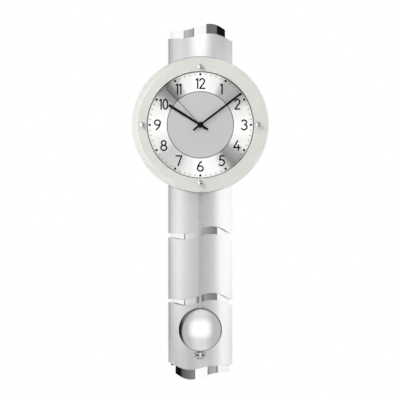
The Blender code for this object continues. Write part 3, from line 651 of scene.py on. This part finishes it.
def build_stud(node):
    """A domed stud with a shallow collar."""
    low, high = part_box(node)
    middle = (low + high) / 2
    radius = (high.x - low.x) / 2
    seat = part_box("glass_disc")[0].y - STUD_GAP
    rise = seat - STUD_COLLAR - low.y
    dome = [(radius * math.sin(angle), low.y + rise * (1 - math.cos(angle)))
            for angle in spread(0.0, math.pi / 2, 12)]
    dome[0] = (0, dome[0][1])
    collar = [(radius, seat - STUD_EDGE), (radius - STUD_EDGE, seat)]
    neck = [(STUD_NECK, seat), (STUD_NECK, high.y), (0, high.y)]
    mesh = turned(dome + collar + neck, 48)
    piece(f"{node}_dome", mesh, "chrome", stands_for=[node], origin=(middle.x, 0.0, middle.z))


def hand_outline(length, tail, tip_half, root_half, hub):
    """A bar with a round hub and a short tail, pointing up."""
    upper = math.acos(root_half / hub)
    hub_side = [(hub * math.cos(angle), hub * math.sin(angle)) for angle in spread(upper, -upper, 24)]
    tip = [(tip_half * 0.7, length), (tip_half, length - tip_half * 0.4)]
    right = tip + hub_side + [(root_half, -tail)]
    return right + [(-x, z) for x, z in reversed(right)]


def build_hands():
    """Lacquered hands with softened edges, and the cap over the hub."""
    for name, (clock_angle, body, *sizes) in HANDS.items():
        cos, sin = math.cos(math.radians(clock_angle)), math.sin(math.radians(clock_angle))
        outline = [(x * cos + z * sin, z * cos - x * sin) for x, z in hand_outline(*sizes)]
        if name == "second":
            mesh = plate(outline, SECOND_HAND_DEPTH)
            bevel = 0.0001
        else:
            low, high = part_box(f"{name}_hand")
            mesh = plate(outline, (high.y, low.y), [circle(HAND_BORES[name], 32)])
            bevel = 0.00018
        piece(f"{name}_hand_blade", mesh, "black", body, [f"{name}_hand"], HUB, bevel=bevel)
    piece("second_hand_cap", turned(SECOND_CAP, 40), "black", "second_arbor", origin=HUB)


def build_pendulum():
    """Domed bob, its rear disc and the rating nut. The rod shows as its CAD node."""
    low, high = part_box("bob_back")
    origin = (0.0, 0.0, ((low + high) / 2).z)
    rise = BOB_RIM_FRONT - BOB_APEX
    chamfer_width, chamfer_depth = BOB_CHAMFER
    dome = [(radius, BOB_RIM_FRONT - rise * (1 - (radius / BOB_RADIUS) ** 2))
            for radius in spread(0.0, BOB_RADIUS - chamfer_width, 24)]
    rim_inside = BOB_RADIUS - BOB_RIM_SHELL
    rim = [(BOB_RADIUS, BOB_RIM_FRONT + chamfer_depth), (BOB_RADIUS, BOB_RIM_BACK),
           (rim_inside, BOB_RIM_BACK), (rim_inside, BOB_RIM_FRONT + BOB_RIM_STEP)]
    inside = [(radius, depth + BOB_SHELL) for radius, depth in reversed(dome[:-1])]
    shell = turned(dome + rim + inside, RING_STEPS, sharp_degrees=10)
    piece("bob_dome", shell, "bob", "bob", ["bob_front"], origin)
    radius = (high.x - low.x) / 2
    disc = [(0, high.y), (radius - REAR_DISC_ARRIS, high.y), (radius, high.y - REAR_DISC_ARRIS),
            (radius, low.y), (0, low.y)]
    piece("bob_rear_disc", turned(disc, 96), "steel", "bob", ["bob_back"], origin)
    build_nut()


def build_nut():
    """The rating nut: two knurled flanges with a groove between, a cone below and a boss on top."""
    low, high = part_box("rating_nut")
    radius = (high.x - low.x) / 2
    # Pairs are height above the lower end and distance from the axis
    cone = [(0.0012, NUT_BORE), (0.0012, radius - 0.0046), (0.0042, radius - 0.0030),
            (0.0048, radius - 0.0012)]
    flanges = [(0.0056, radius), (0.0074, radius), (0.0090, radius - 0.0016), (0.0105, radius),
               (0.0124, radius)]
    boss = [(0.0130, radius - 0.0022), (0.0134, NUT_BOSS), (0.0152, NUT_BOSS - 0.0002), (0.0152, NUT_BORE)]
    bm = bmesh.new()
    rings = []
    for rise, reach in cone + flanges + boss:
        ring = []
        for step in range(NUT_STEPS):
            angle = 2 * math.pi * step / NUT_STEPS
            knurled = reach == radius and step % 4 == 0
            distance = reach - KNURL_DEPTH if knurled else reach
            x, y = distance * math.cos(angle), distance * math.sin(angle)
            ring.append(bm.verts.new((x, y, low.z + rise)))
        rings.append(ring)
    for first, second in zip(rings, rings[1:] + rings[:1]):
        for step in range(NUT_STEPS):
            after = (step + 1) % NUT_STEPS
            bm.faces.new((first[step], first[after], second[after], second[step]))
    mesh = finished(bm, 40)
    piece("knurled_nut", mesh, "chrome", "nut", ["rating_nut"], (0.0, ROD_MID_Y, 0.0))


def dress_frame():
    """Give every CAD node that still shows the material of its slot."""
    slots = {entry["node"]: entry["material_slot"] for entry in FRAME["record"]["subparts"]}
    slots["pendulum_rod"] = "rod"
    for name, node in FRAME["nodes"].items():
        node.data.materials.clear()
        node.data.materials.append(LOOKS[slots[name]])


# ---------------------------------------------------------------- studio

STUDS = ("stud_12_dome", "stud_3_dome", "stud_6_dome", "stud_9_dome")
PENDULUM_CHROME = ("bob_dome", "knurled_nut")

# Brightness round the light tent, by bearing from the camera side: degrees, 8-bit grey
TOP_SHEET = ((-90, 30), (-68, 50), (-64, 252), (-36.5, 262), (-35.5, 150), (-33.5, 198), (-17, 170),
             (-14, 130), (-12.5, 258), (12.5, 255), (13.2, 112), (35, 116), (36.5, 22), (53.5, 22),
             (55, 262), (90, 262))
TOP_PANEL = ((-90, 150), (-80, 110), (-72, 24), (-62, 166), (-45, 192), (-30, 202), (-18, 264), (-10, 302),
             (9, 304), (18, 242), (28, 182), (45, 172), (56, 150), (66, 100), (90, 60))
PANEL = ((-90, 160), (-80, 120), (-72, 40), (-65, 190), (-58, 216), (-45, 240), (-36, 230), (-27, 204),
         (-15, 192), (-5, 194), (2, 174), (8, 179), (19, 194), (26, 203), (32, 236), (38, 257), (60, 256),
         (80, 240), (90, 200))
LOW_PANEL = ((-90, 100), (-80, 60), (-72, 20), (-60, 134), (-53, 194), (-46, 228), (-36, 226), (-27, 202),
             (-10, 180), (11, 178), (20, 200), (30, 221), (38, 240), (44, 248), (54, 236), (62, 212),
             (90, 150))
GAP_SHEET = ((-90, 30), (-68, 50), (-64, 250), (-36, 252), (-34, 120), (-32, 232), (-6, 205), (1, 185),
             (2, 120), (4, 172), (36, 124), (37, 255), (90, 256))
LOW_GAP = ((-90, 30), (-68, 50), (-64, 250), (-36, 252), (-34, 120), (-32, 232), (-10, 205), (-7, 150),
           (-3, 118), (0, 185), (3, 120), (6, 112), (9, 160), (15, 148), (36, 124), (37, 255), (90, 256))
LOW_SHEET = ((-90, 290), (-55.5, 290), (-53.5, 16), (-44, 18), (-38, 92), (-30, 108), (-13, 138), (-12, 100),
             (-10.5, 258), (15, 258), (16, 120), (19, 165), (30, 178), (34, 182), (35, 130), (37.5, 150),
             (39, 250), (90, 250))
# Lower end of each height zone above the arbor, from the top down, with its bands
TENT_ZONES = ((0.335, TOP_PANEL), (0.273, TOP_SHEET), (0.20, TOP_PANEL), (-0.205, PANEL),
              (-0.249, GAP_SHEET), (-0.376, PANEL), (-0.421, LOW_GAP), (-0.564, LOW_PANEL),
              (-0.642, LOW_SHEET), (-1.5, LOW_PANEL))
# Height above the arbor and brightness of the strip of light that the left of the bevel mirrors
FACET_STRIP = ((-0.75, 90), (-0.4, 190), (-0.15, 255), (0.25, 250), (0.55, 90))
# Test on the number of bounces before a reflection that sees a light: operation, limit
FIRST_BOUNCE = ("LESS_THAN", 1.5)
LATER_BOUNCES = ("GREATER_THAN", 3.5)


def emission_material(name):
    """An emitting material; returns it and its emission node."""
    material = bpy.data.materials.new(name)
    material.use_nodes = True
    tree = material.node_tree
    tree.nodes.remove(tree.nodes["Principled BSDF"])
    glow = tree.nodes.new("ShaderNodeEmission")
    tree.links.new(glow.outputs[0], tree.nodes["Material Output"].inputs["Surface"])
    return material, glow


def limit_bounces(tree, glow, strength, bounces):
    """Let a light act only on some bounces of the light's path."""
    operation, limit = bounces
    path = tree.nodes.new("ShaderNodeLightPath")
    chosen = tree.nodes.new("ShaderNodeMath")
    chosen.operation = operation
    tree.links.new(path.outputs["Ray Depth"], chosen.inputs[0])
    chosen.inputs[1].default_value = limit
    scaled = tree.nodes.new("ShaderNodeMath")
    scaled.operation = "MULTIPLY"
    tree.links.new(chosen.outputs[0], scaled.inputs[0])
    scaled.inputs[1].default_value = strength
    tree.links.new(scaled.outputs[0], glow.inputs["Strength"])


def glowing(name, columns, levels, strength, see_through=False, bounces=None):
    """A grid of light whose brightness at every point is an 8-bit grey; it shows only in reflections."""
    vertices = [point for column in columns for point in column]
    rows = len(columns[0])
    faces = []
    for start in range(0, len(vertices) - rows, rows):
        for row in range(rows - 1):
            first = start + row
            faces.append((first, first + rows, first + rows + 1, first + 1))
    mesh = bpy.data.meshes.new(name)
    mesh.from_pydata(vertices, [], faces)
    layer = mesh.color_attributes.new("glow", "FLOAT_COLOR", "POINT")
    for entry, level in zip(layer.data, levels):
        entry.color = (srgb(level), srgb(level), srgb(level), 1.0)
    material, glow = emission_material(f"{name}_glow")
    tree = material.node_tree
    attribute = tree.nodes.new("ShaderNodeVertexColor")
    attribute.layer_name = "glow"
    tree.links.new(attribute.outputs["Color"], glow.inputs["Color"])
    glow.inputs["Strength"].default_value = strength
    if bounces:
        limit_bounces(tree, glow, strength, bounces)
    if see_through:
        clear = tree.nodes.new("ShaderNodeBsdfTransparent")
        both = tree.nodes.new("ShaderNodeAddShader")
        tree.links.new(glow.outputs[0], both.inputs[0])
        tree.links.new(clear.outputs[0], both.inputs[1])
        tree.links.new(both.outputs[0], tree.nodes["Material Output"].inputs["Surface"])
    mesh.materials.append(material)
    made = bpy.data.objects.new(name, mesh)
    made.visible_camera = False
    made.visible_shadow = False
    bpy.context.scene.collection.objects.link(made)
    return made


def shine_on(light, names, state):
    """Limit a light to some pieces, or keep it off them."""
    group = bpy.data.collections.new(f"{light.name}_pieces")
    for name in names:
        group.objects.link(bpy.data.objects[name])
    for entry in group.collection_objects:
        entry.light_linking.link_state = state
    light.light_linking.receiver_collection = group


def band_level(bands, bearing):
    """Grey of a bearing between the stops of a band."""
    for (start, first), (end, second) in zip(bands, bands[1:]):
        if start <= bearing <= end:
            return first + (second - first) * (bearing - start) / (end - start)
    return bands[-1][1]


def smooth_step(value, low, high):
    """0 below low, 1 above high and a soft change between."""
    share = min(max((value - low) / (high - low), 0.0), 1.0)
    return share * share * (3 - 2 * share)


def bob_level(across, up):
    """Grey that the bob shows where a reflection leaves this many degrees across and up."""
    reach = math.hypot(across, up)
    # Edge of the bob, then its rounded border: a ring that is dark above and fades below
    if reach > 76:
        return 98 if abs(across) > abs(up) else 205
    if reach > 42:
        rim = 15 + 135 * smooth_step(-up / reach, 0.1, 0.7)
        ring = smooth_step(reach, 45, 50) * (1 - smooth_step(reach, 67, 73))
        return 210 + (rim - 210) * ring
    # A soft square highlight a little above the middle
    lift = up - 1.8
    tall = 1.15 if lift > 0 else 1.25
    from_middle = (abs(across + 0.2) ** 3.2 + abs(tall * lift) ** 3.2) ** (1 / 3.2)
    window = 1 - smooth_step(from_middle, 10, 25)
    level = 229 - 35 * smooth_step(abs(across), 5, 22)
    level += (268 - level) * window
    # A dark crescent on the left and a thin dark line all round
    crescent = smooth_step(math.hypot(across - 7.0, up + 2.5), 36.0, 38.5) * (across < 0)
    dark = max(crescent * (1 - 0.6 * smooth_step(up, 3, 24)), 0.7 * smooth_step(reach, 33.0, 34.0))
    return level + (35 - level) * dark


def nut_level(across, up):
    """The same for the rating nut: dark to both sides and above, lighter below."""
    reach = math.hypot(across, up)
    if 40 < reach <= 76:
        return 149 if up < -abs(across) else 44
    return bob_level(across, up)


def stud_level(across, up):
    """The same for the four studs: lit from the left, dark above and low on the right."""
    reach = math.hypot(across, up)
    if reach > 72 and across < 0 and abs(up) < 0.75 * reach:
        return 520
    above = smooth_step(reach, 50, 58) * (up > 0.15 * abs(across))
    aside = 1 - smooth_step(math.hypot(across - 32, up + 46), 34, 42)
    return 225 * (1 - max(above, aside))


def light_dome(name, centre, level_at, receivers):
    """A lit dome round a point that only its receivers see, up to DOME_REACH from the camera side."""
    columns = []
    levels = []
    for turn in spread(0.0, 360.0, DOME_STEPS):
        column = []
        for reach in spread(0.0, DOME_REACH, DOME_STEPS):
            across, up = reach * math.cos(math.radians(turn)), reach * math.sin(math.radians(turn))
            ring = DOME_RADIUS * math.sin(math.radians(reach)) / max(reach, 1.0)
            spot = Vector((ring * across, -DOME_RADIUS * math.cos(math.radians(reach)), ring * up))
            spot.rotate(Euler((math.radians(DOME_TILT), 0.0, 0.0)))
            column.append((centre.x + spot.x, spot.y, centre.z + spot.z))
            levels.append(level_at(across, up))
        columns.append(column)
    shine_on(glowing(name, columns, levels, 1.0, see_through=True), receivers, "INCLUDE")


def light_wall(radius, bearings, heights):
    """Columns of points on an upright wall of light bent round the arbor, on the camera side."""
    columns = []
    for bearing in bearings:
        x, y = radius * math.sin(math.radians(bearing)), -radius * math.cos(math.radians(bearing))
        columns.append([(x, y, ARBOR.z + height) for height in heights])
    return columns


def build_tent():
    """A half round of light in front of the clock, whose bands the panels and sheets mirror."""
    bearings = spread(-90.0, 90.0, 360)
    ceiling = TENT_TOP
    for index, (bottom, bands) in enumerate(TENT_ZONES):
        levels = [band_level(bands, bearing) for bearing in bearings for _ in range(2)]
        columns = light_wall(TENT_RADIUS, bearings, (bottom, ceiling))
        tent = glowing(f"tent_{index}", columns, levels, TENT_STRENGTH)
        shine_on(tent, STUDS + PENDULUM_CHROME + ("glass_pane",), "EXCLUDE")
        ceiling = bottom


def build_backing():
    """A shell as bright as the world, but dark to the polished pieces, which see it behind their domes."""
    columns = []
    for turn in spread(0.0, 360.0, 48):
        column = []
        for rise in spread(-90.0, 90.0, 24):
            ring = BACKING_RADIUS * math.cos(math.radians(rise))
            column.append((ring * math.sin(math.radians(turn)), ring * math.cos(math.radians(turn)),
                           ARBOR.z + BACKING_RADIUS * math.sin(math.radians(rise))))
        columns.append(column)
    backing = glowing("backing", columns, [255] * (len(columns) * len(columns[0])), WORLD_STRENGTH)
    backing.visible_diffuse = False
    backing.data.materials[0].cycles.emission_sampling = "NONE"
    shine_on(backing, STUDS + PENDULUM_CHROME, "EXCLUDE")


def build_domes():
    """Lit domes round the bob, the nut and the studs."""
    bob = sum(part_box("bob_back"), Vector()) / 2
    nut = sum(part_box("rating_nut"), Vector()) / 2
    light_dome("bob_light", bob, bob_level, ("bob_dome",))
    light_dome("nut_light", nut, nut_level, ("knurled_nut",))
    light_dome("stud_light", ARBOR, stud_level, STUDS)


def build_glass_lights():
    """Light on the dial through the glass, and a strip that the left of its bevel mirrors."""
    columns = light_wall(DOME_RADIUS, spread(-90.0, 90.0, 60), (-1.2, 1.2))
    levels = [DIAL_LEVEL] * (2 * len(columns))
    inner = glowing("dial_light", columns, levels, TENT_STRENGTH, see_through=True, bounces=LATER_BOUNCES)
    shine_on(inner, ("glass_pane",), "INCLUDE")
    strip = [[(x, -0.8, ARBOR.z + height) for height, _ in FACET_STRIP] for x in (-0.75, -0.22)]
    levels = [level for _, level in FACET_STRIP] * 2
    facet = glowing("facet_light", strip, levels, FACET_STRENGTH, see_through=True, bounces=FIRST_BOUNCE)
    shine_on(facet, ("glass_pane",), "INCLUDE")


def build_world():
    """White behind the clock, soft even light around it."""
    world = bpy.data.worlds.new("studio")
    bpy.context.scene.world = world
    world.use_nodes = True
    tree = world.node_tree
    output = tree.nodes["World Output"]
    seen = tree.nodes["Background"]
    seen.inputs["Color"].default_value = (1.0, 1.0, 1.0, 1.0)
    soft = tree.nodes.new("ShaderNodeBackground")
    soft.inputs["Strength"].default_value = WORLD_STRENGTH
    path = tree.nodes.new("ShaderNodeLightPath")
    mix = tree.nodes.new("ShaderNodeMixShader")
    tree.links.new(path.outputs["Is Camera Ray"], mix.inputs["Fac"])
    tree.links.new(soft.outputs[0], mix.inputs[1])
    tree.links.new(seen.outputs[0], mix.inputs[2])
    tree.links.new(mix.outputs[0], output.inputs["Surface"])


def area_light(name, location, target, size, energy):
    """A soft square lamp aimed at a point, which no reflection shows."""
    data = bpy.data.lights.new(name, "AREA")
    data.size = size
    data.energy = energy
    lamp = bpy.data.objects.new(name, data)
    lamp.location = location
    lamp.rotation_euler = (Vector(target) - Vector(location)).to_track_quat("-Z", "Y").to_euler()
    lamp.visible_glossy = False
    bpy.context.scene.collection.objects.link(lamp)


def build_camera():
    """A long lens straight in front of the clock, level with its middle."""
    data = bpy.data.cameras.new("camera")
    data.lens = CAMERA_LENS
    camera = bpy.data.objects.new("camera", data)
    glass_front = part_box("glass_disc")[0].y
    camera.location = (-CAMERA_LEFT, glass_front - CAMERA_DISTANCE, ARBOR.z - CAMERA_BELOW_ARBOR)
    camera.rotation_euler = (math.pi / 2, 0.0, 0.0)
    bpy.context.scene.collection.objects.link(camera)
    bpy.context.scene.camera = camera


def build_studio():
    """World, lights and camera."""
    bpy.context.scene.view_settings.view_transform = "Standard"
    build_world()
    build_tent()
    build_backing()
    build_domes()
    build_glass_lights()
    area_light("key_lamp", (-0.9, -1.1, ARBOR.z + 0.9), ARBOR, size=0.5, energy=9.0)
    build_camera()


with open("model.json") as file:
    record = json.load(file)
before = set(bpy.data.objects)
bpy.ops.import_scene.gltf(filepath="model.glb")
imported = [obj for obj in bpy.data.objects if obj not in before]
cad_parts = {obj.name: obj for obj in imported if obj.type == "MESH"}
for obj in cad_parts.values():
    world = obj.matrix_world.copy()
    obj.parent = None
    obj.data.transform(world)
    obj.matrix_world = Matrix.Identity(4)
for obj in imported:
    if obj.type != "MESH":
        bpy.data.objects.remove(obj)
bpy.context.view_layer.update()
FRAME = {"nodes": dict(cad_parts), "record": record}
ARBOR = sum(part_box("dial_plate"), Vector()) / 2
HUB = (0.0, 0.0, ARBOR.z)
LOOKS = make_looks()
dress_frame()
build_sheets()
build_dial()
build_glass()
build_hands()
build_pendulum()
build_studio()
bpy.context.view_layer.update()
